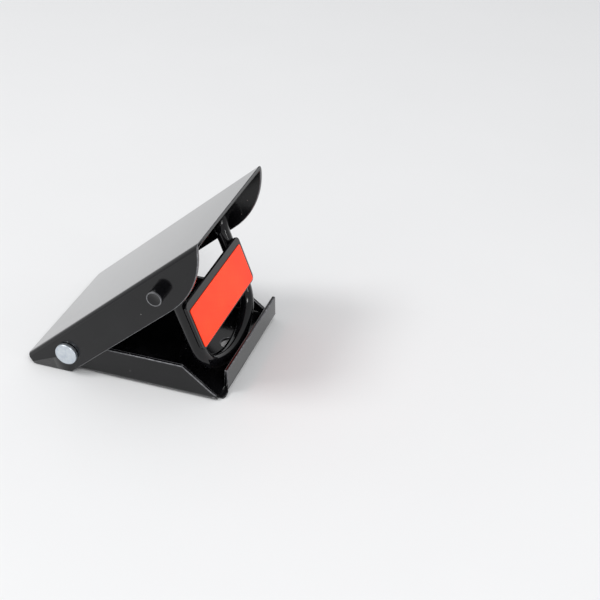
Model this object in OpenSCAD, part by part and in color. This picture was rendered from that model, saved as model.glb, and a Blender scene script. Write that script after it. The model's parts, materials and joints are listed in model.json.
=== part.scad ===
// Folding wheel chock in pressed steel, standing open.
// X runs from the toe to the heel, Y to the far side and Z up. The origin is on the ground,
// straight below the pivot pin and midway between the two sides.

/* [Sheet metal] */
// Thickness of the steel sheet
sheet_t = 1.8; // [1.5:0.1:2]
// Outside radius of the pressed bends
bend_r = 3; // [2.5:0.1:3.5]

/* [Ramp] */
// Angle of the open ramp above the ground, degrees
ramp_angle = 41.3; // [40.8:0.1:41.8]
// Angle through which the open ramp can be lifted off the strut, degrees
ramp_lift = 6; // [4:0.5:6]
// Length of the ramp along its slope
ramp_length = 128; // [126:0.5:132]
// Width of the ramp over its flanges
ramp_width = 80.5; // [80.2:0.1:82]
// Depth of the ramp flanges, over the web
ramp_flange_h = 19.6; // [19:0.1:20]
// Radius of the rounded heel end of each flange
ramp_heel_r = 43; // [38:1:48]
// Height of the cut toe of the flanges above the ground
toe_lift = 0.6; // [0.4:0.1:1]

/* [Base] */
// Width of the base over its flanges
base_width = 75; // [74:0.1:75.5]
// Distance from the pin to the toe end of the base
base_toe = 20.6; // [19.5:0.1:20.8]
// Distance from the pin to the outside of the heel lip
base_heel = 80.2; // [79.5:0.1:82]
// Height of the base flanges
base_flange_h = 17; // [16:0.1:17.5]
// Distance from the pin to where the base flanges start to taper
taper_start = 60; // [56:0.5:62]
// Height of the heel lip
lip_h = 13.5; // [11:0.1:14]
// Near end of the heel lip, measured from the middle plane
lip_near = 29.5; // [26:0.5:32]
// Radius of the base plate's bare near heel corner
corner_r = 6; // [4:0.5:7]
// Diameter of the hang hole
hang_hole_d = 9; // [7:0.5:9.5]
// Distance from the pin to the middle of the hang hole
hang_hole_x = 66.3; // [64:0.1:67]
// Offset of the hang hole to the far side
hang_hole_y = 6.5; // [0:0.5:8]

/* [Pivot pin] */
// Height of the pin above the ground
pin_height = 12.4; // [12.2:0.1:12.6]
// Distance from the ramp's toe to the pin, along the slope
pin_along = 23; // [22.5:0.1:23.5]
// Depth of the pin below the ramp's outer face
pin_depth = 10; // [9.9:0.1:10.1]
// Diameter of the pin
pin_d = 6; // [5:0.1:6.5]
// Diameter of the pin's head
pin_head_d = 11.4; // [10:0.1:12]
// Thickness of the pin's head at its middle
pin_head_t = 2.4; // [2:0.1:3]
// Diameter of the swaged end
swage_d = 7.8; // [7:0.1:8.2]
// Diameter of the washer under the swaged end
washer_d = 10; // [9.2:0.1:11]
// Thickness of the washer
washer_t = 1; // [0.8:0.1:1.5]

/* [Strut] */
// Diameter of the strut rod
rod_d = 7.5; // [7:0.1:8]
// Distance from the ramp's toe to the rod's axis, along the slope
rod_along = 93.8; // [93.4:0.1:94.2]
// Depth of the rod's axis below the ramp's outer face
rod_depth = 9; // [8.8:0.1:9.2]
// Distance from the rod's axis to the middle of its bottom bar
strut_length = 57.3; // [56.9:0.1:57.6]
// Distance of each leg from the middle plane
leg_y = 29.5; // [28:0.1:30]
// Bending radius of the rod where the legs turn outwards
shoulder_r = 8; // [7:0.5:9]
// Bending radius of the rod at the bottom corners
corner_bend_r = 15; // [14:0.5:18]
// Length of each rod end outside the flange
rod_end = 6; // [4:0.5:8]

/* [Reflector] */
// Width of the reflector plate
plate_w = 66.5; // [64:0.5:67]
// Height of the reflector plate
plate_h = 26; // [24:0.5:27]
// Thickness of the reflector plate
plate_t = 1.5; // [1.2:0.1:2]
// Corner radius of the reflector plate
plate_corner_r = 3; // [2:0.5:4]
// Distance from the rod's axis to the plate's top edge
plate_drop = 12.4; // [11.5:0.1:13]
// Width of the reflective sheet
sheet_w = 62.6; // [60:0.1:63]
// Height of the reflective sheet
sheet_h = 21; // [19:0.1:22]
// Thickness of the reflective sheet
sheet_film_t = 0.4; // [0.3:0.1:0.6]

/* [Labels] */
// Length of the blank label, across the ramp
label_l = 28; // [24:0.5:30]
// Height of the blank label, along the slope
label_h = 11; // [9:0.5:12]
// Length of the printed stripe
stripe_l = 45; // [40:1:50]
// Height of the printed stripe
stripe_h = 4.4; // [4:0.1:6]

/* [Hidden] */
$fn = 64;

enamel = "#1c1d20";
zinc = "#b9c0c6";
safety_orange = "#ff5b3c";
label_white = "#f1f1ee";
stripe_blue = "#2f57a4";

eps = 0.01;
press_gap = 0.05;     // radial play of a running fit
side_gap = 0.3;       // play between parts that slide past each other
film_t = 0.2;         // thickness of a printed label
inner_r = bend_r - sheet_t;
rod_r = rod_d / 2;
pin_r = pin_d / 2;
ramp_half = ramp_width / 2;
base_half = base_width / 2;

// The rod's axis and the strut's lean follow from the ramp's angle and from the bottom bar
// standing on the base, with side_gap left for play.
rod_from_pin = rod_along - pin_along;
rod_x = rod_from_pin * cos(ramp_angle) + (rod_depth - pin_depth) * sin(ramp_angle);
rod_z = pin_height + rod_from_pin * sin(ramp_angle) - (rod_depth - pin_depth) * cos(ramp_angle);
bar_z = sheet_t + side_gap + rod_r;
strut_lean = acos((rod_z - bar_z) / strut_length);

// Toe cut of the ramp flanges: level with the ground while the ramp is open.
function toe_cut_depth(along) =
    pin_depth + (pin_height - toe_lift + (along - pin_along) * sin(ramp_angle)) / cos(ramp_angle);

// Bent rod: the legs turn inwards through the corners, and the bowed bar joins these smoothly.
rod_sides = 32;
bend_step = 6;        // degrees of bend between two rings of the rod
corner_turn = 60;
bow_turn = 90 - corner_turn;
shoulder_y = leg_y + shoulder_r;
corner_y = leg_y - corner_bend_r;
bow_r = corner_bend_r + corner_y / sin(bow_turn);
bow_z = bow_r - strut_length;
corner_z = bow_z - (bow_r - corner_bend_r) * cos(bow_turn);

// Rows of [y, z, heading] along an arc about (y, z).
function bend_rows(y, z, radius, from, to) =
    let (steps = round(abs(to - from) / bend_step), way = sign(to - from))
    [for (i = [0:steps])
        let (a = from + (to - from) * i / steps)
        [y + radius * cos(a), z + radius * sin(a), a + 90 * way]];

// The rod's centre line in the strut's plane, from the far shoulder to the near one.
// It starts and ends a little way inside the straight ends.
rod_tuck = 0.5;
rod_path = concat(
    [[shoulder_y + rod_tuck, 0, 180]],
    bend_rows(shoulder_y, -shoulder_r, shoulder_r, 90, 180),
    bend_rows(corner_y, corner_z, corner_bend_r, 0, -corner_turn),
    bend_rows(0, bow_z, bow_r, -corner_turn - bend_step, corner_turn + bend_step - 180),
    bend_rows(-corner_y, corner_z, corner_bend_r, corner_turn - 180, -180),
    bend_rows(-shoulder_y, -shoulder_r, shoulder_r, 0, 90),
    [[-shoulder_y - rod_tuck, 0, 180]]
);

// Local frame of the ramp: X up the slope from the toe, Z out of the ramp's outer face.
module on_ramp() {
    translate([0, 0, pin_height])
        rotate([0, -ramp_angle, 0])
            translate([-pin_along, 0, pin_depth])
                children();
}

// Local frame of the strut: Z up the legs to the rod's axis, X out of the reflector's face.
module on_strut() {
    translate([rod_x, 0, rod_z])
        rotate([0, -strut_lean, 0])
            children();
}

// Stands a flat outline up, so that its X and Y become X and Z, and its height runs along Y.
module across(width) {
    translate([0, width / 2, 0])
        rotate([90, 0, 0])
            linear_extrude(width)
                children();
}

// Puts a flat outline in the Y-Z plane, extruded along X.
module along_x(length) {
    rotate([90, 0, 90])
        linear_extrude(length)
            children();
}

// Rectangle standing on its lower edge, whose two lower corners are rounded.
module tray_outline(width, height, radius) {
    translate([-width / 2 + radius, 0])
        square([width - 2 * radius, height]);
    translate([-width / 2, radius])
        square([width, height - radius]);
    for (side = [-1, 1])
        translate([side * (width / 2 - radius), radius])
            circle(radius);
}

// Cross-section of a bent channel, web down.
module channel_outline(width, height) {
    difference() {
        tray_outline(width, height, bend_r);
        translate([0, sheet_t])
            tray_outline(width - 2 * sheet_t, height, inner_r);
    }
}

// Side view of the ramp, heel end rounded, measured down from the outer face.
module ramp_side_outline() {
    drop = ramp_heel_r - ramp_flange_h;
    heel_centre = ramp_length - sqrt(pow(ramp_heel_r, 2) - pow(drop, 2));
    difference() {
        union() {
            translate([0, -ramp_flange_h])
                square([heel_centre, ramp_flange_h]);
            intersection() {
                translate([heel_centre, drop])
                    circle(ramp_heel_r, $fn = 128);
                translate([heel_centre - eps, -ramp_flange_h])
                    square([ramp_length - heel_centre + eps, ramp_flange_h]);
            }
        }
        polygon([
            [-1, -toe_cut_depth(-1)],
            [pin_along, -toe_cut_depth(pin_along)],
            [-1, -toe_cut_depth(pin_along)]
        ]);
    }
}

module ramp_plate() {
    color(enamel)
        on_ramp()
            difference() {
                intersection() {
                    mirror([0, 0, 1])
                        along_x(ramp_length)
                            channel_outline(ramp_width, ramp_flange_h);
                    across(ramp_width)
                        ramp_side_outline();
                }
                translate([pin_along, 0, -pin_depth])
                    rotate([90, 0, 0])
                        cylinder(r = pin_r + press_gap, h = ramp_width + 2, center = true);
                translate([rod_along, 0, -rod_depth])
                    rotate([90, 0, 0])
                        cylinder(r = rod_r + press_gap, h = ramp_width + 2, center = true);
            }
}

// Side view of the base flanges, cut back at the toe to clear the lifted ramp's web, and
// tapering away towards the heel.
module base_side_outline() {
    toe_cut_run = (base_flange_h - sheet_t) / tan(ramp_angle + ramp_lift);
    polygon([
        [-base_toe, 0],
        [base_heel - sheet_t, 0],
        [base_heel - sheet_t, sheet_t],
        [taper_start, base_flange_h],
        [toe_cut_run - base_toe, base_flange_h],
        [-base_toe, sheet_t]
    ]);
}

// Side view of the heel lip and of the bend below it.
module lip_outline() {
    bend_x = base_heel - bend_r;
    translate([base_heel - sheet_t, bend_r])
        square([sheet_t, lip_h - bend_r]);
    intersection() {
        translate([bend_x, 0])
            square(bend_r);
        difference() {
            translate([bend_x, bend_r])
                circle(bend_r);
            translate([bend_x, bend_r])
                circle(inner_r);
        }
    }
    translate([bend_x - bend_r, 0])
        square([bend_r + eps, sheet_t]);
}

// Heel lip, ending short of the near corner and following the rounded far edge.
module heel_lip() {
    intersection() {
        translate([0, (base_half - lip_near) / 2, 0])
            across(base_half + lip_near)
                lip_outline();
        along_x(base_heel)
            tray_outline(base_width, lip_h, bend_r);
    }
}

// What lies outside the rounded near heel corner of the base.
module near_corner_waste() {
    translate([base_heel - corner_r, corner_r - base_half, -1])
        difference() {
            translate([0, -corner_r - 1, 0])
                cube([corner_r + 1, corner_r + 1, base_flange_h + 2]);
            translate([0, 0, -1])
                cylinder(r = corner_r, h = base_flange_h + 4);
        }
}

module base_plate() {
    web_end = base_heel - bend_r;
    color(enamel)
        difference() {
            union() {
                intersection() {
                    translate([-base_toe, 0, 0])
                        along_x(base_toe + web_end + eps)
                            channel_outline(base_width, base_flange_h);
                    across(base_width)
                        base_side_outline();
                }
                translate([web_end, -base_half + bend_r, 0])
                    cube([bend_r - eps, base_half - bend_r - lip_near + eps, sheet_t]);
                heel_lip();
            }
            near_corner_waste();
            translate([0, 0, pin_height])
                rotate([90, 0, 0])
                    cylinder(r = pin_r, h = base_width + 2, center = true);
            translate([hang_hole_x, hang_hole_y, -1])
                cylinder(d = hang_hole_d, h = sheet_t + 2);
        }
}

// Flat head with a low dome, seen from the near side.
module pin_head() {
    dome_r = 22;
    intersection() {
        cylinder(d = pin_head_d, h = pin_head_t);
        translate([0, 0, pin_head_t - dome_r])
            sphere(dome_r, $fn = 128);
    }
}

module pivot_pin() {
    shank = ramp_width + 2 * side_gap + washer_t;
    color(zinc)
        translate([0, -ramp_half - side_gap, pin_height])
            rotate([-90, 0, 0]) {
                cylinder(r = pin_r, h = shank);
                rotate([180, 0, 0])
                    pin_head();
                translate([0, 0, shank])
                    cylinder(d1 = swage_d, d2 = pin_d, h = 1.4);
            }
}

module pin_washer() {
    color(zinc)
        translate([0, ramp_half + side_gap, pin_height])
            rotate([-90, 0, 0])
                difference() {
                    cylinder(d = washer_d, h = washer_t);
                    translate([0, 0, -1])
                        cylinder(r = pin_r, h = washer_t + 2);
                }
}

// Bent length of the rod, swept along rod_path.
module rod_sweep() {
    rings = len(rod_path);
    swept_r = rod_r - eps;
    points = [for (row = rod_path, i = [0:rod_sides - 1])
        let (a = 360 * i / rod_sides, out = swept_r * cos(a))
        [swept_r * sin(a), row[0] - out * sin(row[2]), row[1] + out * cos(row[2])]];
    sides = [for (k = [0:rings - 2], i = [0:rod_sides - 1])
        let (a = k * rod_sides + i, b = k * rod_sides + (i + 1) % rod_sides)
        [a, a + rod_sides, b + rod_sides, b]];
    first_cap = [for (i = [0:rod_sides - 1]) i];
    last_cap = [for (i = [rod_sides - 1:-1:0]) (rings - 1) * rod_sides + i];
    polyhedron(points, concat(sides, [first_cap, last_cap]), convexity = 6);
}

// Straight end of the rod, from the shoulder out through the flange.
module rod_end_pin() {
    end_chamfer = 0.6;
    end_length = ramp_half + rod_end - shoulder_y - end_chamfer;
    translate([0, shoulder_y, 0])
        rotate([-90, 0, 0]) {
            cylinder(r = rod_r, h = end_length);
            translate([0, 0, end_length])
                cylinder(r1 = rod_r, r2 = rod_r - end_chamfer, h = end_chamfer);
        }
}

module strut_rod() {
    color(enamel)
        on_strut() {
            rod_sweep();
            for (side = [0, 1])
                mirror([0, side, 0])
                    rod_end_pin();
        }
}

// Flat plate with round corners, lying in the strut's plane with its back at X = 0.
module rounded_plate(width, height, thickness, radius) {
    along_x(thickness)
        for (turn = [0, 1]) {
            cut_w = turn == 0 ? radius : 0;
            cut_h = turn == 0 ? 0 : radius;
            square([width - 2 * cut_w, height - 2 * cut_h], center = true);
            for (side = [-1, 1])
                translate([side * (width / 2 - radius), (turn * 2 - 1) * (height / 2 - radius)])
                    circle(radius);
        }
}

plate_mid_z = -plate_drop - plate_h / 2;

module reflector_plate() {
    color(enamel)
        on_strut()
            translate([rod_r, 0, plate_mid_z])
                rounded_plate(plate_w, plate_h, plate_t, plate_corner_r);
}

module reflective_sheet() {
    edge_margin = 1;
    sheet_mid_z = -plate_drop - plate_h + edge_margin + sheet_h / 2;
    color(safety_orange)
        on_strut()
            translate([rod_r + plate_t, 0, sheet_mid_z])
                rounded_plate(sheet_w, sheet_h, sheet_film_t, edge_margin);
}

// Two weld beads in the corner between each leg and the back of the plate.
module plate_welds() {
    bead_l = 7;
    bead_near = 1.2;
    bead_far = 4.4;
    color(enamel)
        on_strut()
            for (side = [-1, 1], level = [-1, 1])
                translate([0, 0, plate_mid_z + level * plate_h / 4 - bead_l / 2])
                    linear_extrude(bead_l)
                        difference() {
                            polygon([
                                [rod_r, side * (leg_y - bead_near)],
                                [rod_r, side * (leg_y - bead_far)],
                                [rod_r / 3, side * (leg_y - rod_r)],
                                [rod_r / 3, side * (leg_y - bead_near)]
                            ]);
                            translate([0, side * leg_y])
                                circle(rod_r, $fn = 48);
                        }
}

// Blank label stuck under the ramp near its heel.
module blank_label() {
    label_along = 111;
    label_y = 6.5;
    color(label_white)
        on_ramp()
            translate([label_along - label_h / 2, label_y - label_l / 2, -sheet_t - film_t])
                cube([label_h, label_l, film_t]);
}

// Plain printed stripe on the far flange of the ramp.
module printed_stripe() {
    stripe_along = 55.4;
    stripe_depth = 9.9;
    stripe_tilt = 3.5;
    color(stripe_blue)
        on_ramp()
            translate([stripe_along, ramp_half, -stripe_depth])
                rotate([0, stripe_tilt, 0])
                    translate([-stripe_l / 2, 0, -stripe_h / 2])
                        cube([stripe_l, film_t, stripe_h]);
}

ramp_plate();
base_plate();
pivot_pin();
pin_washer();
strut_rod();
reflector_plate();
plate_welds();
reflective_sheet();
blank_label();
printed_stripe();
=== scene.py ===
"""Folding wheel chock in pressed, enamelled steel, standing open on a pale floor.

Lengths are in millimetres until a mesh is placed, and everything is then in metres, in the frame
of the CAD model: X from toe to heel, Y to the far side, Z up, origin under the pivot pin.
"""
import json
import math

import bmesh
import bpy
from mathutils import Matrix, Vector

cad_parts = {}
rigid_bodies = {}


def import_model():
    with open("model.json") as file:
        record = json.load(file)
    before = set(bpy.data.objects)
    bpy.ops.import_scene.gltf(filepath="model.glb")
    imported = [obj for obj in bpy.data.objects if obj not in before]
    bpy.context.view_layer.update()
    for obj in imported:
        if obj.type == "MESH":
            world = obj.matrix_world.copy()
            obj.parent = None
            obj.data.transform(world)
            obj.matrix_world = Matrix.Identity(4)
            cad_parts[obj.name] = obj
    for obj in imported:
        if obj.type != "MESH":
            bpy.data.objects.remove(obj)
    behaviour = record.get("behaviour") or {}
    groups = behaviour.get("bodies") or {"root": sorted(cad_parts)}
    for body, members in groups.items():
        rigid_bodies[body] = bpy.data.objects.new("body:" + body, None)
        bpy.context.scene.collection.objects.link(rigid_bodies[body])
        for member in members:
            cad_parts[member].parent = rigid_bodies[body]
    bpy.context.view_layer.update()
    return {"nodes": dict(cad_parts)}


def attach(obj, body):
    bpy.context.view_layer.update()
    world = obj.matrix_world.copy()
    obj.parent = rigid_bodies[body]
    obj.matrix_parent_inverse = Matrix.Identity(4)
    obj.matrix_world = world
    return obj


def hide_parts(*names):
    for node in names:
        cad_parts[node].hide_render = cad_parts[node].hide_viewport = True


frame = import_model()

MM = 0.001

# Sizes of the chock, as the CAD model has them.
SHEET_T = 1.8
RAMP_ANGLE = math.radians(41.3)
RAMP_HALF = 80.5 / 2
BASE_HALF = 75 / 2
BASE_TOE = 20.6
BASE_HEEL = 80.2
LIP_NEAR = 29.5
PIN_HEIGHT = 12.4
PIN_ALONG = 23.0
PIN_DEPTH = 10.0
PIN_R = 3.0
SIDE_GAP = 0.3
HEAD_R = 5.7
HEAD_T = 2.4
WASHER_T = 1.0
WASHER_R = 5.0
SWAGE_R = 3.9
SWAGE_T = 1.4
SWAGE_DISH = 0.55
ROD_R = 7.5 / 2
ROD_ALONG = 93.8
ROD_DEPTH = 9.0
STRUT_LENGTH = 57.3
LEG_Y = 29.5
SHOULDER_R = 8.0
CORNER_R = 15.0
CORNER_TURN = 60.0
ROD_END = 6.0
ROD_RIM = 0.7
PLATE_T = 1.5
PLATE_DROP = 12.4
PLATE_H = 26.0
FILM_W, FILM_H, FILM_T = 62.6, 21.0, 0.4
FILM_MARGIN = 1.0
LABEL_L, LABEL_H = 28.0, 11.0
STRIPE_L, STRIPE_H = 45.0, 4.4
PRINT_T = 0.2

# How far each kind of cut edge is rounded.
SHEARED_ROUNDING, PLATE_ROUNDING = 0.45, 0.3
FILM_ROUNDING, PRINT_ROUNDING = 0.12, 0.06

# Where the rod passes through the ramp's flanges, and how the strut leans from there.
ROD_AHEAD = ROD_ALONG - PIN_ALONG
ROD_BELOW = ROD_DEPTH - PIN_DEPTH
ROD_X = ROD_AHEAD * math.cos(RAMP_ANGLE) + ROD_BELOW * math.sin(RAMP_ANGLE)
ROD_Z = PIN_HEIGHT + ROD_AHEAD * math.sin(RAMP_ANGLE) - ROD_BELOW * math.cos(RAMP_ANGLE)
BAR_Z = SHEET_T + SIDE_GAP + ROD_R
STRUT_LEAN = math.acos((ROD_Z - BAR_Z) / STRUT_LENGTH)

# Local frames, from millimetres to the CAD model's metres.
TO_METRES = Matrix.Scale(MM, 4)
ON_RAMP = (TO_METRES @ Matrix.Translation((0, 0, PIN_HEIGHT)) @ Matrix.Rotation(-RAMP_ANGLE, 4, "Y")
           @ Matrix.Translation((-PIN_ALONG, 0, PIN_DEPTH)))
ON_STRUT = TO_METRES @ Matrix.Translation((ROD_X, 0, ROD_Z)) @ Matrix.Rotation(-STRUT_LEAN, 4, "Y")
ON_PIN = TO_METRES @ Matrix.Translation((0, 0, PIN_HEIGHT))


# ---------------------------------------------------------------- colours and nodes

def srgb(code):
    """Linear RGBA of an sRGB hex colour."""
    parts = [int(code[i:i + 2], 16) / 255 for i in (1, 3, 5)]
    return [p / 12.92 if p <= 0.04045 else ((p + 0.055) / 1.055) ** 2.4 for p in parts] + [1.0]


def per_mm(size):
    """Texture scale whose features are this many millimetres across."""
    return 1 / (size * MM)


def add_node(tree, kind, settings=None, inputs=None):
    """Adds a node, sets its properties, and feeds its inputs from values or from other sockets."""
    node = tree.nodes.new(kind)
    for name, value in (settings or {}).items():
        setattr(node, name, value)
    for name, value in (inputs or {}).items():
        if isinstance(value, bpy.types.NodeSocket):
            tree.links.new(value, node.inputs[name])
        else:
            node.inputs[name].default_value = value
    return node


def new_material(name):
    """An empty node material with its output, and the tree to fill."""
    made = bpy.data.materials.new(name)
    made.use_nodes = True
    made.node_tree.nodes.clear()
    return made


def finish_material(made, shader, preview):
    """Joins the shader to the output and sets the plain viewport colour."""
    tree = made.node_tree
    add_node(tree, "ShaderNodeOutputMaterial", inputs={"Surface": shader.outputs["BSDF"]})
    made.diffuse_color = srgb(preview)
    return made


def specks(tree, place, pitch, radius, share):
    """Mask of round specks: one in each cell of a pitch, of which only a share is kept."""
    cells = add_node(tree, "ShaderNodeTexVoronoi", inputs={"Vector": place, "Scale": per_mm(pitch)})
    dot = add_node(tree, "ShaderNodeMath", {"operation": "LESS_THAN"},
                   {0: cells.outputs["Distance"], 1: radius / pitch})
    tint = add_node(tree, "ShaderNodeSeparateColor", inputs={"Color": cells.outputs["Color"]})
    kept = add_node(tree, "ShaderNodeMath", {"operation": "LESS_THAN"}, {0: tint.outputs[0], 1: share})
    both = add_node(tree, "ShaderNodeMath", {"operation": "MULTIPLY"},
                    {0: dot.outputs[0], 1: kept.outputs[0]})
    return both.outputs[0]


# ---------------------------------------------------------------- materials

# Most values of a noise texture lie between these two.
NOISE_LOW, NOISE_HIGH = 0.3, 0.7


def black_stove_enamel(name, roughness, peel):
    """Black stove enamel, sprayed on degreased steel and baked: deep black, glossy, with the slow
    waviness of sprayed paint, a few caught dust grains, faint hazy patches from handling, and a
    clear top layer over the black that shines most where it is seen along the surface. The two
    IORs are below a usual enamel's 1.5 and were matched: together they go from black to
    light more steeply with the angle than one layer of 1.5 does."""
    haze_size, wipe_size = 14, 3
    grain_pitch, grain_radius, grain_share = 5.0, 0.24, 0.6
    wave_height, grain_height = 0.02, 0.05
    made = new_material(name)
    tree = made.node_tree
    place = add_node(tree, "ShaderNodeTexCoord").outputs["Object"]
    haze = add_node(tree, "ShaderNodeTexNoise", inputs={
        "Vector": place, "Scale": per_mm(haze_size), "Detail": 3.0})
    wipe = add_node(tree, "ShaderNodeTexNoise", inputs={
        "Vector": place, "Scale": per_mm(wipe_size), "Detail": 4.0, "Roughness": 0.65})
    wave = add_node(tree, "ShaderNodeTexNoise", inputs={
        "Vector": place, "Scale": per_mm(peel), "Detail": 1.0})
    grains = specks(tree, place, grain_pitch, grain_radius, grain_share)
    fade = add_node(tree, "ShaderNodeMapRange", inputs={
        "Value": haze.outputs["Fac"], "From Min": NOISE_LOW, "From Max": NOISE_HIGH})
    tone = add_node(tree, "ShaderNodeMix", {"data_type": "RGBA"}, {
        0: fade.outputs[0], 6: srgb("#09090b"), 7: srgb("#0f0f11")})
    colour = add_node(tree, "ShaderNodeMix", {"data_type": "RGBA"}, {
        0: grains, 6: tone.outputs[2], 7: srgb("#8d8d8a")})
    patch = add_node(tree, "ShaderNodeMath", {"operation": "MULTIPLY"},
                     {0: haze.outputs["Fac"], 1: wipe.outputs["Fac"]})
    gloss = add_node(tree, "ShaderNodeMapRange", inputs={
        "Value": patch.outputs[0], "From Min": 0.15, "From Max": 0.4,
        "To Min": roughness * 0.9, "To Max": roughness * 1.15})
    relief = add_node(tree, "ShaderNodeBump", inputs={
        "Height": wave.outputs["Fac"], "Strength": 0.35, "Distance": wave_height * MM})
    raised = add_node(tree, "ShaderNodeBump", inputs={
        "Height": grains, "Strength": 0.5, "Distance": grain_height * MM, "Normal": relief.outputs[0]})
    shader = add_node(tree, "ShaderNodeBsdfPrincipled", inputs={
        "Base Color": colour.outputs[2], "Roughness": gloss.outputs[0], "IOR": 1.25,
        "Normal": raised.outputs[0], "Coat Weight": 1.0, "Coat IOR": 1.3,
        "Coat Roughness": roughness * 0.8, "Coat Normal": raised.outputs[0]})
    return finish_material(made, shader, "#101012")


def edge_enamel_and_painted_highlight():
    """The same enamel where it has drawn back from a sheared edge: thinner and glossier, and painted
    a lighter grey that partly stands for the bright highlight lines along the edges, with a few
    short lengths lighter and more metallic still."""
    patch_size = 2.5
    made = new_material("edge_enamel_and_painted_highlight")
    tree = made.node_tree
    place = add_node(tree, "ShaderNodeTexCoord").outputs["Object"]
    edge_patches = add_node(tree, "ShaderNodeTexNoise", inputs={
        "Vector": place, "Scale": per_mm(patch_size), "Detail": 4.0, "Roughness": 0.6}).outputs["Fac"]
    painted_highlight_patches = add_node(tree, "ShaderNodeMapRange", inputs={"Value": edge_patches, "From Min": 0.4, "From Max": 0.75})
    # This grey is partly a painted highlight for the bright lines along the sheared edges.
    colour = add_node(tree, "ShaderNodeMix", {"data_type": "RGBA"}, {
        0: painted_highlight_patches.outputs[0], 6: srgb("#5c5c5f"), 7: srgb("#8c8c8f")})
    metal = add_node(tree, "ShaderNodeMapRange", inputs={
        "Value": edge_patches, "From Min": 0.4, "From Max": 0.7, "To Min": 0.35, "To Max": 0.6})
    gloss = add_node(tree, "ShaderNodeMapRange", inputs={
        "Value": edge_patches, "From Min": 0.4, "From Max": 0.65, "To Min": 0.2, "To Max": 0.3})
    shader = add_node(tree, "ShaderNodeBsdfPrincipled", inputs={
        "Base Color": colour.outputs[2], "Metallic": metal.outputs[0], "Roughness": gloss.outputs[0],
        "IOR": 1.5})
    return finish_material(made, shader, "#1d1d20")


def zinc_plated_steel():
    """Bright zinc electroplated on a cold-headed steel pin: pale, slightly blue and satin, with
    the fine rings that heading and turning leave about the pin's axis and a cloudy passivation."""
    ring_pitch, cloud_size, grain_size = 0.35, 2.2, 0.3
    relief_height = 0.01
    made = new_material("zinc_plated_steel")
    tree = made.node_tree
    place = add_node(tree, "ShaderNodeTexCoord").outputs["Object"]
    about_axis = add_node(tree, "ShaderNodeMapping", inputs={
        "Vector": place, "Location": (0, 0, -PIN_HEIGHT * MM), "Scale": (1, 0, 1)})
    radius = add_node(tree, "ShaderNodeVectorMath", {"operation": "LENGTH"}, {0: about_axis.outputs[0]})
    phase = add_node(tree, "ShaderNodeMath", {"operation": "MULTIPLY"},
                     {0: radius.outputs["Value"], 1: 2 * math.pi * per_mm(ring_pitch)})
    rings = add_node(tree, "ShaderNodeMath", {"operation": "SINE"}, {0: phase.outputs[0]})
    cloud = add_node(tree, "ShaderNodeTexNoise", inputs={
        "Vector": place, "Scale": per_mm(cloud_size), "Detail": 3.0})
    grain = add_node(tree, "ShaderNodeTexNoise", inputs={
        "Vector": place, "Scale": per_mm(grain_size), "Detail": 2.0})
    fade = add_node(tree, "ShaderNodeMapRange", inputs={
        "Value": cloud.outputs["Fac"], "From Min": NOISE_LOW, "From Max": NOISE_HIGH})
    colour = add_node(tree, "ShaderNodeMix", {"data_type": "RGBA"}, {
        0: fade.outputs[0], 6: srgb("#c3ccd6"), 7: srgb("#dde3e8")})
    gloss = add_node(tree, "ShaderNodeMapRange", inputs={
        "Value": grain.outputs["Fac"], "From Min": NOISE_LOW, "From Max": NOISE_HIGH,
        "To Min": 0.34, "To Max": 0.5})
    turned = add_node(tree, "ShaderNodeBump", inputs={
        "Height": rings.outputs[0], "Strength": 0.12, "Distance": relief_height * MM})
    relief = add_node(tree, "ShaderNodeBump", inputs={
        "Height": grain.outputs["Fac"], "Strength": 0.25, "Distance": relief_height * MM,
        "Normal": turned.outputs[0]})
    shader = add_node(tree, "ShaderNodeBsdfPrincipled", inputs={
        "Base Color": colour.outputs[2], "Metallic": 1.0, "Roughness": gloss.outputs[0],
        "Normal": relief.outputs[0]})
    return finish_material(made, shader, "#c8d0d8")


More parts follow.
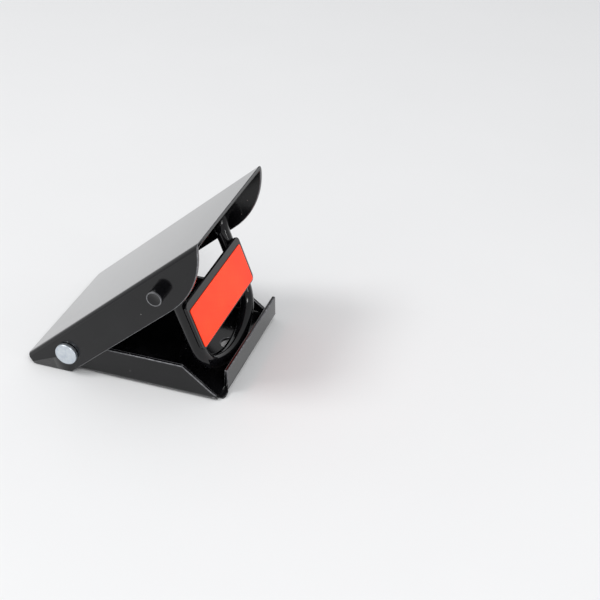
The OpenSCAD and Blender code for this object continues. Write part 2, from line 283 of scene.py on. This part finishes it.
def reflective_film():
    """Fluorescent orange-red reflective film: glass beads under a clear vinyl face, sealed to the
    backing along a honeycomb of faint lines, so that it is bright, even and a little satin. A
    faint emission paints a glow on it that stands for its fluorescence."""
    cell_pitch, fade_size, bead_size = 2.6, 16, 0.4
    seal_strength, bead_height = 0.35, 0.01
    made = new_material("fluorescent_reflective_film")
    tree = made.node_tree
    place = add_node(tree, "ShaderNodeTexCoord").outputs["Object"]
    along = Vector((0, 1, 0))
    up = Vector((-math.sin(STRUT_LEAN), 0, math.cos(STRUT_LEAN)))
    waves = []
    for turn in (0, 60, 120):
        angle = math.radians(turn)
        step = (along * math.cos(angle) + up * math.sin(angle)) * 2 * math.pi * per_mm(cell_pitch)
        phase = add_node(tree, "ShaderNodeVectorMath", {"operation": "DOT_PRODUCT"}, {0: place, 1: step})
        waves.append(add_node(tree, "ShaderNodeMath", {"operation": "COSINE"},
                              {0: phase.outputs["Value"]}).outputs[0])
    two = add_node(tree, "ShaderNodeMath", {"operation": "ADD"}, {0: waves[0], 1: waves[1]})
    cells = add_node(tree, "ShaderNodeMath", {"operation": "ADD"}, {0: two.outputs[0], 1: waves[2]})
    seal = add_node(tree, "ShaderNodeMapRange", inputs={
        "Value": cells.outputs[0], "From Min": -1.45, "From Max": -0.7, "To Min": 1.0, "To Max": 0.0})
    faint = add_node(tree, "ShaderNodeMath", {"operation": "MULTIPLY"},
                     {0: seal.outputs[0], 1: seal_strength})
    cloud = add_node(tree, "ShaderNodeTexNoise", inputs={
        "Vector": place, "Scale": per_mm(fade_size), "Detail": 2.0})
    fade = add_node(tree, "ShaderNodeMapRange", inputs={
        "Value": cloud.outputs["Fac"], "From Min": NOISE_LOW, "From Max": NOISE_HIGH})
    face = add_node(tree, "ShaderNodeMix", {"data_type": "RGBA"}, {
        0: fade.outputs[0], 6: srgb("#ff3606"), 7: srgb("#ff420c")})
    colour = add_node(tree, "ShaderNodeMix", {"data_type": "RGBA"}, {
        0: faint.outputs[0], 6: face.outputs[2], 7: srgb("#e22e08")})
    beads = add_node(tree, "ShaderNodeTexNoise", inputs={
        "Vector": place, "Scale": per_mm(bead_size), "Detail": 1.0})
    relief = add_node(tree, "ShaderNodeBump", inputs={
        "Height": beads.outputs["Fac"], "Strength": 0.1, "Distance": bead_height * MM})
    # The emission is a painted glow, standing for the film's fluorescence.
    shader = add_node(tree, "ShaderNodeBsdfPrincipled", inputs={
        "Base Color": colour.outputs[2], "Roughness": 0.36, "Specular IOR Level": 0.35,
        "Emission Color": colour.outputs[2], "Emission Strength": 0.3, "Normal": relief.outputs[0]})
    return finish_material(made, shader, "#ff5b3c")


def white_label_stock():
    """Matt white label stock: a smooth face with the faint cloudiness of coated paper."""
    fibre_size, cloud_size, fibre_height = 0.6, 7, 0.01
    made = new_material("matt_white_label_stock")
    tree = made.node_tree
    place = add_node(tree, "ShaderNodeTexCoord").outputs["Object"]
    fibre = add_node(tree, "ShaderNodeTexNoise", inputs={
        "Vector": place, "Scale": per_mm(fibre_size), "Detail": 4.0, "Roughness": 0.6})
    cloud = add_node(tree, "ShaderNodeTexNoise", inputs={
        "Vector": place, "Scale": per_mm(cloud_size), "Detail": 2.0})
    fade = add_node(tree, "ShaderNodeMapRange", inputs={
        "Value": cloud.outputs["Fac"], "From Min": NOISE_LOW, "From Max": NOISE_HIGH})
    colour = add_node(tree, "ShaderNodeMix", {"data_type": "RGBA"}, {
        0: fade.outputs[0], 6: srgb("#f4f4f1"), 7: srgb("#e6e5e0")})
    gloss = add_node(tree, "ShaderNodeMapRange", inputs={
        "Value": fibre.outputs["Fac"], "From Min": NOISE_LOW, "From Max": NOISE_HIGH,
        "To Min": 0.42, "To Max": 0.6})
    relief = add_node(tree, "ShaderNodeBump", inputs={
        "Height": fibre.outputs["Fac"], "Strength": 0.1, "Distance": fibre_height * MM})
    shader = add_node(tree, "ShaderNodeBsdfPrincipled", inputs={
        "Base Color": colour.outputs[2], "Roughness": gloss.outputs[0], "Normal": relief.outputs[0]})
    return finish_material(made, shader, "#f1f1ee")


def screen_printed_ink():
    """Blue ink screen printed over the enamel: flat and satin, with pinholes where the black
    shows through and the fine unevenness of the mesh it was pressed through."""
    lay_size = 1.6
    hole_pitch, hole_radius, hole_share = 1.1, 0.16, 0.35
    made = new_material("screen_printed_blue_ink")
    tree = made.node_tree
    place = add_node(tree, "ShaderNodeTexCoord").outputs["Object"]
    holes = specks(tree, place, hole_pitch, hole_radius, hole_share)
    lay = add_node(tree, "ShaderNodeTexNoise", inputs={
        "Vector": place, "Scale": per_mm(lay_size), "Detail": 3.0})
    fade = add_node(tree, "ShaderNodeMapRange", inputs={
        "Value": lay.outputs["Fac"], "From Min": NOISE_LOW, "From Max": NOISE_HIGH})
    ink = add_node(tree, "ShaderNodeMix", {"data_type": "RGBA"}, {
        0: fade.outputs[0], 6: srgb("#2b6fb8"), 7: srgb("#2f8bd0")})
    colour = add_node(tree, "ShaderNodeMix", {"data_type": "RGBA"}, {
        0: holes, 6: ink.outputs[2], 7: srgb("#101013")})
    gloss = add_node(tree, "ShaderNodeMapRange", inputs={
        "Value": lay.outputs["Fac"], "From Min": NOISE_LOW, "From Max": NOISE_HIGH,
        "To Min": 0.3, "To Max": 0.45})
    shader = add_node(tree, "ShaderNodeBsdfPrincipled", inputs={
        "Base Color": colour.outputs[2], "Roughness": gloss.outputs[0]})
    return finish_material(made, shader, "#2f7cc4")


def floor_paper():
    """Matt white background paper, with the slightest unevenness."""
    cloud_size = 90
    made = new_material("white_background_paper")
    tree = made.node_tree
    place = add_node(tree, "ShaderNodeTexCoord").outputs["Object"]
    cloud = add_node(tree, "ShaderNodeTexNoise", inputs={
        "Vector": place, "Scale": per_mm(cloud_size), "Detail": 2.0})
    colour = add_node(tree, "ShaderNodeMix", {"data_type": "RGBA"}, {
        0: cloud.outputs["Fac"], 6: srgb("#ececec"), 7: srgb("#efefef")})
    shader = add_node(tree, "ShaderNodeBsdfPrincipled", inputs={
        "Base Color": colour.outputs[2], "Roughness": 0.7, "Specular IOR Level": 0.2})
    return finish_material(made, shader, "#eeeeee")


# ---------------------------------------------------------------- meshes

def new_object(name, shape, place, *materials):
    """Turns a bmesh into an object, its mesh put in place by a matrix that also turns any
    millimetres into metres."""
    mesh = bpy.data.meshes.new(name)
    shape.transform(place)
    shape.to_mesh(mesh)
    shape.free()
    for material in materials:
        mesh.materials.append(material)
    made = bpy.data.objects.new(name, mesh)
    bpy.context.scene.collection.objects.link(made)
    return made


def settle(obj):
    """Replaces an object's mesh by its evaluated one and drops its modifiers."""
    bpy.context.view_layer.update()
    final = bpy.data.meshes.new_from_object(obj.evaluated_get(bpy.context.evaluated_depsgraph_get()))
    obj.modifiers.clear()
    old = obj.data
    obj.data = final
    final.name = obj.name
    bpy.data.meshes.remove(old)
    return obj


def mark_sheared_edges(obj, stays_sharp):
    """Marks for rounding the sharp edges whose middle, in millimetres, isn't to stay sharp."""
    least_turn = math.radians(28)
    shape = bmesh.new()
    shape.from_mesh(obj.data)
    weight = shape.edges.layers.float.new("bevel_weight_edge")
    for edge in shape.edges:
        middle = (edge.verts[0].co + edge.verts[1].co) / 2 / MM
        sharp = len(edge.link_faces) == 2 and edge.calc_face_angle() > least_turn
        edge[weight] = 1.0 if sharp and not stays_sharp(middle) else 0.0
    shape.to_mesh(obj.data)
    shape.free()


def soften_edges(obj, width, segments=3, edge_material=-1, stays_sharp=lambda middle: False):
    """Rounds the sharp edges, keeps the flat faces flat, and makes the mesh final."""
    mark_sheared_edges(obj, stays_sharp)
    rounding = obj.modifiers.new("rounding", "BEVEL")
    rounding.width = width * MM
    rounding.segments = segments
    rounding.limit_method = "WEIGHT"
    rounding.use_clamp_overlap = False
    # The bevel faces take the edge material, whose lighter grey partly paints highlight lines along
    # them.
    rounding.material = edge_material
    for face in obj.data.polygons:
        face.use_smooth = True
    normals = obj.modifiers.new("normals", "WEIGHTED_NORMAL")
    normals.mode = "FACE_AREA"
    normals.weight = 100
    normals.keep_sharp = True
    return settle(obj)


def welded_copy(node, name, *materials):
    """Copy of a CAD node, its loose triangles joined and its flat faces made whole."""
    same_point, same_plane = 0.002 * MM, math.radians(0.4)
    shape = bmesh.new()
    shape.from_mesh(frame["nodes"][node].data)
    bmesh.ops.remove_doubles(shape, verts=shape.verts, dist=same_point)
    bmesh.ops.dissolve_limit(shape, angle_limit=same_plane, verts=shape.verts,
                             edges=shape.edges, delimit=set())
    return new_object(name, shape, Matrix.Identity(4), *materials)


def join_piece(obj, body, slot, *nodes):
    """Puts a finished piece on its body in place of CAD nodes. The slot argument is not used."""
    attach(obj, body)
    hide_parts(*nodes)
    return obj


def lathe(profile, turns, height_at=None):
    """Solid turned about Y from rows of (radius, y). A row of radius 0 closes an end."""
    shape = bmesh.new()
    rings = []
    for radius, y in profile:
        ring = []
        for i in range(turns if radius > 0 else 1):
            angle = 2 * math.pi * i / turns
            lift = height_at(radius, angle, y) if height_at else 0
            ring.append(shape.verts.new((radius * math.sin(angle), y + lift, radius * math.cos(angle))))
        rings.append(ring)
    for low, high in zip(rings, rings[1:]):
        for i in range(turns):
            corners = [low[i % len(low)], low[(i + 1) % len(low)],
                       high[(i + 1) % len(high)], high[i % len(high)]]
            corners = [c for n, c in enumerate(corners) if c not in corners[:n]]
            shape.faces.new(corners)
    bmesh.ops.recalc_face_normals(shape, faces=shape.faces)
    return shape


def round_corner(centre_r, centre_y, radius, start, end, steps=5):
    """Rows of (radius, y) along a quarter round of a lathe profile."""
    return [(centre_r + radius * math.cos(math.radians(start + (end - start) * i / steps)),
             centre_y + radius * math.sin(math.radians(start + (end - start) * i / steps)))
            for i in range(steps + 1)]


def rounded_sheet(width, height, thickness, radius, across, up, out, origin):
    """Thin sheet with round corners, its back on the origin's plane, as a bmesh in millimetres."""
    shape = bmesh.new()
    steps = 6
    outline = []
    for quarter, (sx, sy) in enumerate(((1, 1), (-1, 1), (-1, -1), (1, -1))):
        for i in range(steps + 1):
            angle = math.radians(90 * quarter + 90 * i / steps)
            outline.append((sx * (width / 2 - radius) + radius * math.cos(angle),
                            sy * (height / 2 - radius) + radius * math.sin(angle)))
    levels = [[shape.verts.new(origin + across * u + up * v + out * level) for u, v in outline]
              for level in (0, thickness)]
    shape.faces.new(levels[0])
    shape.faces.new(levels[1])
    count = len(outline)
    for i in range(count):
        shape.faces.new([levels[0][i], levels[0][(i + 1) % count],
                         levels[1][(i + 1) % count], levels[1][i]])
    bmesh.ops.recalc_face_normals(shape, faces=shape.faces)
    return shape


# ---------------------------------------------------------------- geometry node trees

def new_tree(name, inputs):
    """A Geometry Nodes tree with a geometry input, these named inputs and a geometry output."""
    tree = bpy.data.node_groups.new(name, "GeometryNodeTree")
    tree.interface.new_socket("Geometry", in_out="INPUT", socket_type="NodeSocketGeometry")
    for socket, kind in inputs.items():
        tree.interface.new_socket(socket, in_out="INPUT", socket_type=kind)
    tree.interface.new_socket("Geometry", in_out="OUTPUT", socket_type="NodeSocketGeometry")
    return tree


def end_tree(tree, geometry, material):
    """Ends a tree in real, coloured geometry."""
    real = add_node(tree, "GeometryNodeRealizeInstances", inputs={"Geometry": geometry})
    coloured = add_node(tree, "GeometryNodeSetMaterial", inputs={
        "Geometry": real.outputs[0], "Material": material})
    add_node(tree, "NodeGroupOutput", inputs={"Geometry": coloured.outputs[0]})


def run_tree(obj, tree, values):
    """Runs a tree on an object with values for its named inputs, and returns a plain mesh object."""
    modifier = obj.modifiers.new(tree.name, "NODES")
    modifier.node_group = tree
    for item in tree.interface.items_tree:
        if item.item_type == "SOCKET" and item.in_out == "INPUT" and item.name in values:
            modifier[item.identifier] = values[item.name]
    bpy.context.view_layer.update()
    mesh = bpy.data.meshes.new_from_object(obj.evaluated_get(bpy.context.evaluated_depsgraph_get()))
    name, source = obj.name, obj.data
    bpy.data.objects.remove(obj)
    bpy.data.batch_remove([source])
    mesh.name = name
    made = bpy.data.objects.new(name, mesh)
    bpy.context.scene.collection.objects.link(made)
    return made


def rod_tree():
    """Sweeps a round bar along a curve. The curve's point radii thin it at the rounded ends."""
    tree = new_tree("bent_round_bar", {"Bar radius": "NodeSocketFloat", "Sides": "NodeSocketInt",
                                       "Finish": "NodeSocketMaterial"})
    given = add_node(tree, "NodeGroupInput")
    circle = add_node(tree, "GeometryNodeCurvePrimitiveCircle", inputs={
        "Resolution": given.outputs["Sides"], "Radius": given.outputs["Bar radius"]})
    swept = add_node(tree, "GeometryNodeCurveToMesh", inputs={
        "Curve": given.outputs["Geometry"], "Profile Curve": circle.outputs[0], "Fill Caps": True})
    smooth = add_node(tree, "GeometryNodeSetShadeSmooth", inputs={"Geometry": swept.outputs[0]})
    end_tree(tree, smooth.outputs[0], given.outputs["Finish"])
    return tree


def weld_tree():
    """Lays overlapping ripples of weld metal along each edge of a mesh."""
    tree = new_tree("weld_ripples", {
        "Ripple pitch": "NodeSocketFloat", "Ripple radius": "NodeSocketFloat",
        "Unevenness": "NodeSocketFloat", "Seed": "NodeSocketInt", "Finish": "NodeSocketMaterial"})
    given = add_node(tree, "NodeGroupInput")
    line = add_node(tree, "GeometryNodeMeshToCurve", inputs={"Mesh": given.outputs["Geometry"]})
    even = add_node(tree, "GeometryNodeResampleCurve", {"mode": "LENGTH"},
                    {"Curve": line.outputs[0], "Length": given.outputs["Ripple pitch"]})
    ball = add_node(tree, "GeometryNodeMeshIcoSphere", inputs={
        "Radius": given.outputs["Ripple radius"], "Subdivisions": 3})
    smooth = add_node(tree, "GeometryNodeSetShadeSmooth", inputs={"Geometry": ball.outputs[0]})
    least = add_node(tree, "ShaderNodeMath", {"operation": "SUBTRACT"},
                     {0: 1.0, 1: given.outputs["Unevenness"]})
    size = add_node(tree, "FunctionNodeRandomValue", {"data_type": "FLOAT"},
                    {2: least.outputs[0], 3: 1.0, "Seed": given.outputs["Seed"]})
    laid = add_node(tree, "GeometryNodeInstanceOnPoints", inputs={
        "Points": even.outputs[0], "Instance": smooth.outputs[0], "Scale": size.outputs[1]})
    end_tree(tree, laid.outputs[0], given.outputs["Finish"])
    return tree


# ---------------------------------------------------------------- pieces

def near_hole(point, x, z, radius):
    """Whether a point in millimetres lies on the rim of a hole across the chock."""
    margin = 0.3
    return math.hypot(point.x - x, point.z - z) < radius + margin


def ramp_stays_sharp(point):
    """The rims of the pin and rod holes, and the two pointed toe corners."""
    toe_corner = point.z < 2.0 and point.x < -8.0
    pin_hole = near_hole(point, 0, PIN_HEIGHT, PIN_R)
    return pin_hole or near_hole(point, ROD_X, ROD_Z, ROD_R) or toe_corner


def base_stays_sharp(point):
    """The pin holes' rims, the relieved heel corners and the cut-back toe."""
    beside_lip = point.y < 1.0 - LIP_NEAR or point.y > BASE_HALF - 4.0
    heel_corner = point.x > BASE_HEEL - 4.2 and beside_lip and point.z < SHEET_T + 1.4
    toe = point.x < 1.1 - BASE_TOE
    return near_hole(point, 0, PIN_HEIGHT, PIN_R) or heel_corner or toe


def ramp(enamel, edge):
    """Pressed ramp: web, two rounded flanges, and the holes for pin and rod."""
    made = soften_edges(welded_copy("ramp_plate", "ramp_pressing", enamel, edge), SHEARED_ROUNDING,
                        edge_material=1, stays_sharp=ramp_stays_sharp)
    return join_piece(made, "ramp", "black_enamel", "ramp_plate")


def base(enamel, edge):
    """Pressed base: tray, tapered flanges, heel lip and hang hole."""
    made = soften_edges(welded_copy("base_plate", "base_pressing", enamel, edge), SHEARED_ROUNDING,
                        edge_material=1, stays_sharp=base_stays_sharp)
    return join_piece(made, "base", "black_enamel", "base_plate")


def swage_relief(radius, angle, y):
    """Height of the four punch marks and of the dished middle of the swaged end."""
    reach, mark_height = SWAGE_R * 0.8, 0.28
    if y < 0 or radius > reach:
        return 0
    share = radius / reach
    dish = -SWAGE_DISH * (1 - share ** 2)
    marks = mark_height * max(0.0, math.cos(4 * angle)) * math.sin(math.pi * share)
    return dish + marks


def pin(zinc):
    """Headed pin whose far end is swaged over the washer."""
    head_back = -RAMP_HALF - SIDE_GAP
    head_face = head_back - HEAD_T
    swage_back = RAMP_HALF + SIDE_GAP + WASHER_T
    swage_face = swage_back + SWAGE_T
    head_rim, head_crown, head_foot = 0.6, 0.15, 0.2
    swage_foot, swage_rim = 0.3, 0.7
    profile = [(0, head_face), (HEAD_R * 0.45, head_face + 0.03), (HEAD_R * 0.75, head_face + 0.1)]
    profile += round_corner(HEAD_R - head_rim, head_face + head_crown + head_rim, head_rim, -90, 0)
    profile += round_corner(HEAD_R - head_foot, head_back - head_foot, head_foot, 0, 90, 3)
    profile += [(PIN_R, head_back), (PIN_R, swage_back)]
    profile += round_corner(SWAGE_R - swage_foot, swage_back + swage_foot, swage_foot, -90, 0, 3)
    profile += round_corner(SWAGE_R - swage_rim, swage_face - swage_rim, swage_rim, 0, 90)
    profile += [(SWAGE_R * share, swage_face) for share in (0.72, 0.6, 0.48, 0.36, 0.24, 0.12)]
    profile += [(0, swage_face - SWAGE_DISH)]
    made = new_object("headed_pin", lathe(profile, 96, swage_relief), ON_PIN, zinc)
    made.data.shade_smooth()
    made.data.set_sharp_from_angle(angle=math.radians(50))
    return join_piece(made, "base", "zinc_plate", "pivot_pin")


def washer(zinc):
    """Punched washer under the swaged end, the rim of its outer face rounded."""
    low = RAMP_HALF + SIDE_GAP
    high = low + WASHER_T
    burr, roll, play = 0.1, 0.3, 0.02
    bore_r = PIN_R + play
    profile = [(bore_r, low + burr), (bore_r + burr, low)]
    profile += [(WASHER_R - burr, low), (WASHER_R, low + burr)]
    profile += round_corner(WASHER_R - roll, high - roll, roll, 0, 90)
    profile += [(bore_r + burr, high), (bore_r, high - burr), profile[0]]
    shape = lathe(profile, 72)
    bmesh.ops.remove_doubles(shape, verts=shape.verts, dist=0.001)
    bmesh.ops.recalc_face_normals(shape, faces=shape.faces)
    made = new_object("punched_washer", shape, ON_PIN, zinc)
    made.data.shade_smooth()
    made.data.set_sharp_from_angle(angle=math.radians(40))
    return join_piece(made, "base", "zinc_plate", "pin_washer")


def arc(y, z, radius, start, end, step=2.5):
    """Points of an arc in the strut's plane."""
    count = max(2, round(abs(end - start) / step))
    return [(y + radius * math.cos(math.radians(start + (end - start) * i / count)),
             z + radius * math.sin(math.radians(start + (end - start) * i / count)))
            for i in range(count + 1)]


def rod_centre_line():
    """Half of the rod's centre line, from the far end to the middle of the bottom bar."""
    shoulder_y = LEG_Y + SHOULDER_R
    corner_y = LEG_Y - CORNER_R
    bow_turn = 90 - CORNER_TURN
    bow_r = CORNER_R + corner_y / math.sin(math.radians(bow_turn))
    bow_z = bow_r - STRUT_LENGTH
    corner_z = bow_z - (bow_r - CORNER_R) * math.cos(math.radians(bow_turn))
    line = arc(shoulder_y, -SHOULDER_R, SHOULDER_R, 90, 180)
    line += arc(corner_y, corner_z, CORNER_R, 0, -CORNER_TURN)
    line += arc(0, bow_z, bow_r, -CORNER_TURN, -90)[1:]
    return line


def dish_bar_ends(obj, rim, depth):
    """Gives each flat end of the bar a rim of the second material, whose lighter grey is partly a
    painted highlight, and a shallow dished middle.
    """
    shape = bmesh.new()
    shape.from_mesh(obj.data)
    caps = [face for face in shape.faces if len(face.verts) > 8]
    rims = bmesh.ops.inset_individual(shape, faces=caps, thickness=rim * MM, depth=0)["faces"]
    for face in rims:
        face.material_index = 1
    bmesh.ops.inset_individual(shape, faces=caps, thickness=rim * MM, depth=-depth * MM)
    shape.to_mesh(obj.data)
    shape.free()


def rod_rows():
    """Rows of (y, z, share of the bar's radius) along the whole bar, its rims rounded."""
    tip = RAMP_HALF + ROD_END
    half = []
    for turn in range(0, 91, 18):
        out, back = math.cos(math.radians(turn)), 1 - math.sin(math.radians(turn))
        half.append((tip - ROD_RIM + ROD_RIM * out, 0, 1 - ROD_RIM * back / ROD_R))
    half += [(tip - 3 * ROD_RIM, 0, 1)]
    half += [(y, z, 1) for y, z in rod_centre_line()]
    return half + [(-y, z, share) for y, z, share in reversed(half[:-1])]


def rod(enamel, edge):
    """Round bar bent into the strut: two legs, a bowed bottom bar and two outward ends, whose
    tumbled rims the enamel covers thinly, in a lighter grey that partly paints a highlight on them."""
    rows = rod_rows()
    curve = bpy.data.curves.new("strut_bar", "CURVE")
    curve.dimensions = "3D"
    spline = curve.splines.new("POLY")
    spline.points.add(len(rows) - 1)
    for point, (y, z, share) in zip(spline.points, rows):
        point.co = (*(ON_STRUT @ Vector((0, y, z))), 1)
        point.radius = share
    source = bpy.data.objects.new("strut_bar", curve)
    bpy.context.scene.collection.objects.link(source)
    made = run_tree(source, rod_tree(), {"Bar radius": ROD_R * MM, "Sides": 48, "Finish": enamel})
    made.data.materials.append(edge)
    # The rounded rims of the ends take the edge material; its lighter grey partly paints a highlight
    # there.
    tip, tolerance = RAMP_HALF + ROD_END, 0.001
    for face in made.data.polygons:
        if (tip - ROD_RIM) * MM < abs(face.center.y) < (tip - tolerance) * MM:
            face.material_index = 1
    dish_bar_ends(made, rim=0.5, depth=0.3)
    made.data.set_sharp_from_angle(angle=math.radians(50))
    return join_piece(made, "strut", "black_enamel", "strut_rod")


def plate(enamel):
    """Plate welded across the legs, its border showing round the film."""
    made = soften_edges(welded_copy("reflector_plate", "reflector_backing", enamel), PLATE_ROUNDING)
    return join_piece(made, "strut", "black_enamel", "reflector_plate")


def welds(enamel):
    """Four short weld beads between the legs and the back of the plate."""
    plate_mid = -PLATE_DROP - PLATE_H / 2
    bead_half, bead_ahead, bead_inward = 2.15, 2.75, 3.0
    shape = bmesh.new()
    for side in (-1, 1):
        for level in (-1, 1):
            middle = plate_mid + level * PLATE_H / 4
            ends = [shape.verts.new((bead_ahead, side * (LEG_Y - bead_inward), middle + way * bead_half))
                    for way in (-1, 1)]
            shape.edges.new(ends)
    source = new_object("weld_beads", shape, ON_STRUT)
    made = run_tree(source, weld_tree(), {
        "Ripple pitch": 0.85 * MM, "Ripple radius": 1.35 * MM, "Unevenness": 0.14, "Seed": 7,
        "Finish": enamel})
    return join_piece(made, "strut", "black_enamel", "plate_welds")


def film(vinyl):
    """Reflective sheet stuck on the front of the plate."""
    middle = -PLATE_DROP - PLATE_H + FILM_MARGIN + FILM_H / 2
    corner_r = 1.0
    shape = rounded_sheet(FILM_W, FILM_H, FILM_T, corner_r, Vector((0, 1, 0)), Vector((0, 0, 1)),
                          Vector((1, 0, 0)), Vector((ROD_R + PLATE_T, 0, middle)))
    made = soften_edges(new_object("reflective_film_sheet", shape, ON_STRUT, vinyl), FILM_ROUNDING,
                        segments=2)
    return join_piece(made, "strut", "reflective_film", "reflective_sheet")


def label(paper):
    """Blank label under the ramp's web, near the heel."""
    along, aside, corner_r = 111.0, 6.5, 1.0
    shape = rounded_sheet(LABEL_H, LABEL_L, PRINT_T, corner_r, Vector((1, 0, 0)), Vector((0, 1, 0)),
                          Vector((0, 0, -1)), Vector((along, aside, -SHEET_T)))
    made = soften_edges(new_object("label_blank", shape, ON_RAMP, paper), PRINT_ROUNDING, segments=2)
    return join_piece(made, "ramp", "white_label", "blank_label")


def stripe(ink):
    """Plain printed stripe on the outside of the far flange."""
    along, depth, corner_r = 55.4, 9.9, 0.8
    tilt = Matrix.Rotation(math.radians(3.5), 3, "Y")
    shape = rounded_sheet(STRIPE_L, STRIPE_H, PRINT_T, corner_r, tilt @ Vector((1, 0, 0)),
                          tilt @ Vector((0, 0, 1)), Vector((0, 1, 0)),
                          Vector((along, RAMP_HALF, -depth)))
    made = soften_edges(new_object("stripe_print", shape, ON_RAMP, ink), PRINT_ROUNDING, segments=2)
    return join_piece(made, "ramp", "blue_print", "printed_stripe")


# ---------------------------------------------------------------- stage

def floor(paper):
    """Large pale floor just below the chock, in metres."""
    size, clearance = 8.0, 0.00005
    shape = bmesh.new()
    bmesh.ops.create_grid(shape, x_segments=4, y_segments=4, size=size / 2)
    made = new_object("floor", shape, Matrix.Translation((0, 0, -clearance)), paper)


def soft_light(name, place, target, width, height, power):
    """Softbox of a width and height pointed at a target."""
    data = bpy.data.lights.new(name, "AREA")
    data.shape = "RECTANGLE"
    data.size, data.size_y = width, height
    data.energy = power
    lamp = bpy.data.objects.new(name, data)
    bpy.context.scene.collection.objects.link(lamp)
    lamp.location = place
    lamp.rotation_euler = (Vector(target) - Vector(place)).to_track_quat("-Z", "Y").to_euler()


def studio():
    """Even pale surroundings, a soft key from the toe side, a fill above the camera and a narrow
    strip low on the heel side, for the bright lines along the bar."""
    world = bpy.data.worlds.new("pale_studio")
    bpy.context.scene.world = world
    world.use_nodes = True
    world.node_tree.nodes.clear()
    sky = add_node(world.node_tree, "ShaderNodeBackground",
                   inputs={"Color": srgb("#f2f3f5"), "Strength": 0.72})
    add_node(world.node_tree, "ShaderNodeOutputWorld", inputs={"Surface": sky.outputs[0]})
    soft_light("key_softbox", place=(-0.75, -0.45, 1.3), target=(0, 0, 0),
               width=0.5, height=0.5, power=8)
    soft_light("fill_softbox", place=(0.75, -0.75, 1.15), target=(0.03, 0, 0.03),
               width=0.4, height=0.4, power=5)
    soft_light("strip_softbox", place=(0.9, -0.28, 0.12), target=(0.05, 0.02, 0.05),
               width=0.06, height=0.24, power=0.8)
    bpy.context.scene.view_settings.view_transform = "Standard"


def camera():
    """Camera to the right of the near side, looking down on the chock, in metres."""
    place = Vector((0.2538, -0.4323, 0.3587))
    forward = Vector((-0.2648, 0.7778, -0.570)).normalized()
    roll = math.radians(0.38)
    data = bpy.data.cameras.new("camera")
    data.lens = 69.57
    data.sensor_width = 36
    data.clip_start, data.clip_end = 0.01, 50
    level = forward.cross(Vector((0, 0, 1))).normalized()
    upright = level.cross(forward)
    right = level * math.cos(roll) + upright * math.sin(roll)
    top = upright * math.cos(roll) - level * math.sin(roll)
    made = bpy.data.objects.new("camera", data)
    bpy.context.scene.collection.objects.link(made)
    turned = Matrix((right, top, -forward)).transposed().to_4x4()
    made.matrix_world = Matrix.Translation(place) @ turned
    bpy.context.scene.camera = made


def build():
    """Makes every piece of the chock and the stage around it."""
    enamel = black_stove_enamel("black_stove_enamel", roughness=0.15, peel=2.2)
    bar_enamel = black_stove_enamel("black_bar_enamel", roughness=0.12, peel=1.4)
    # The edge enamel's lighter grey is partly a painted highlight along the sheared edges and the
    # rod-end rims.
    edge = edge_enamel_and_painted_highlight()
    zinc = zinc_plated_steel()
    ramp(enamel, edge)
    base(enamel, edge)
    pin(zinc)
    washer(zinc)
    rod(bar_enamel, edge)
    plate(enamel)
    welds(bar_enamel)
    film(reflective_film())
    label(white_label_stock())
    stripe(screen_printed_ink())
    floor(floor_paper())
    studio()
    camera()


build()
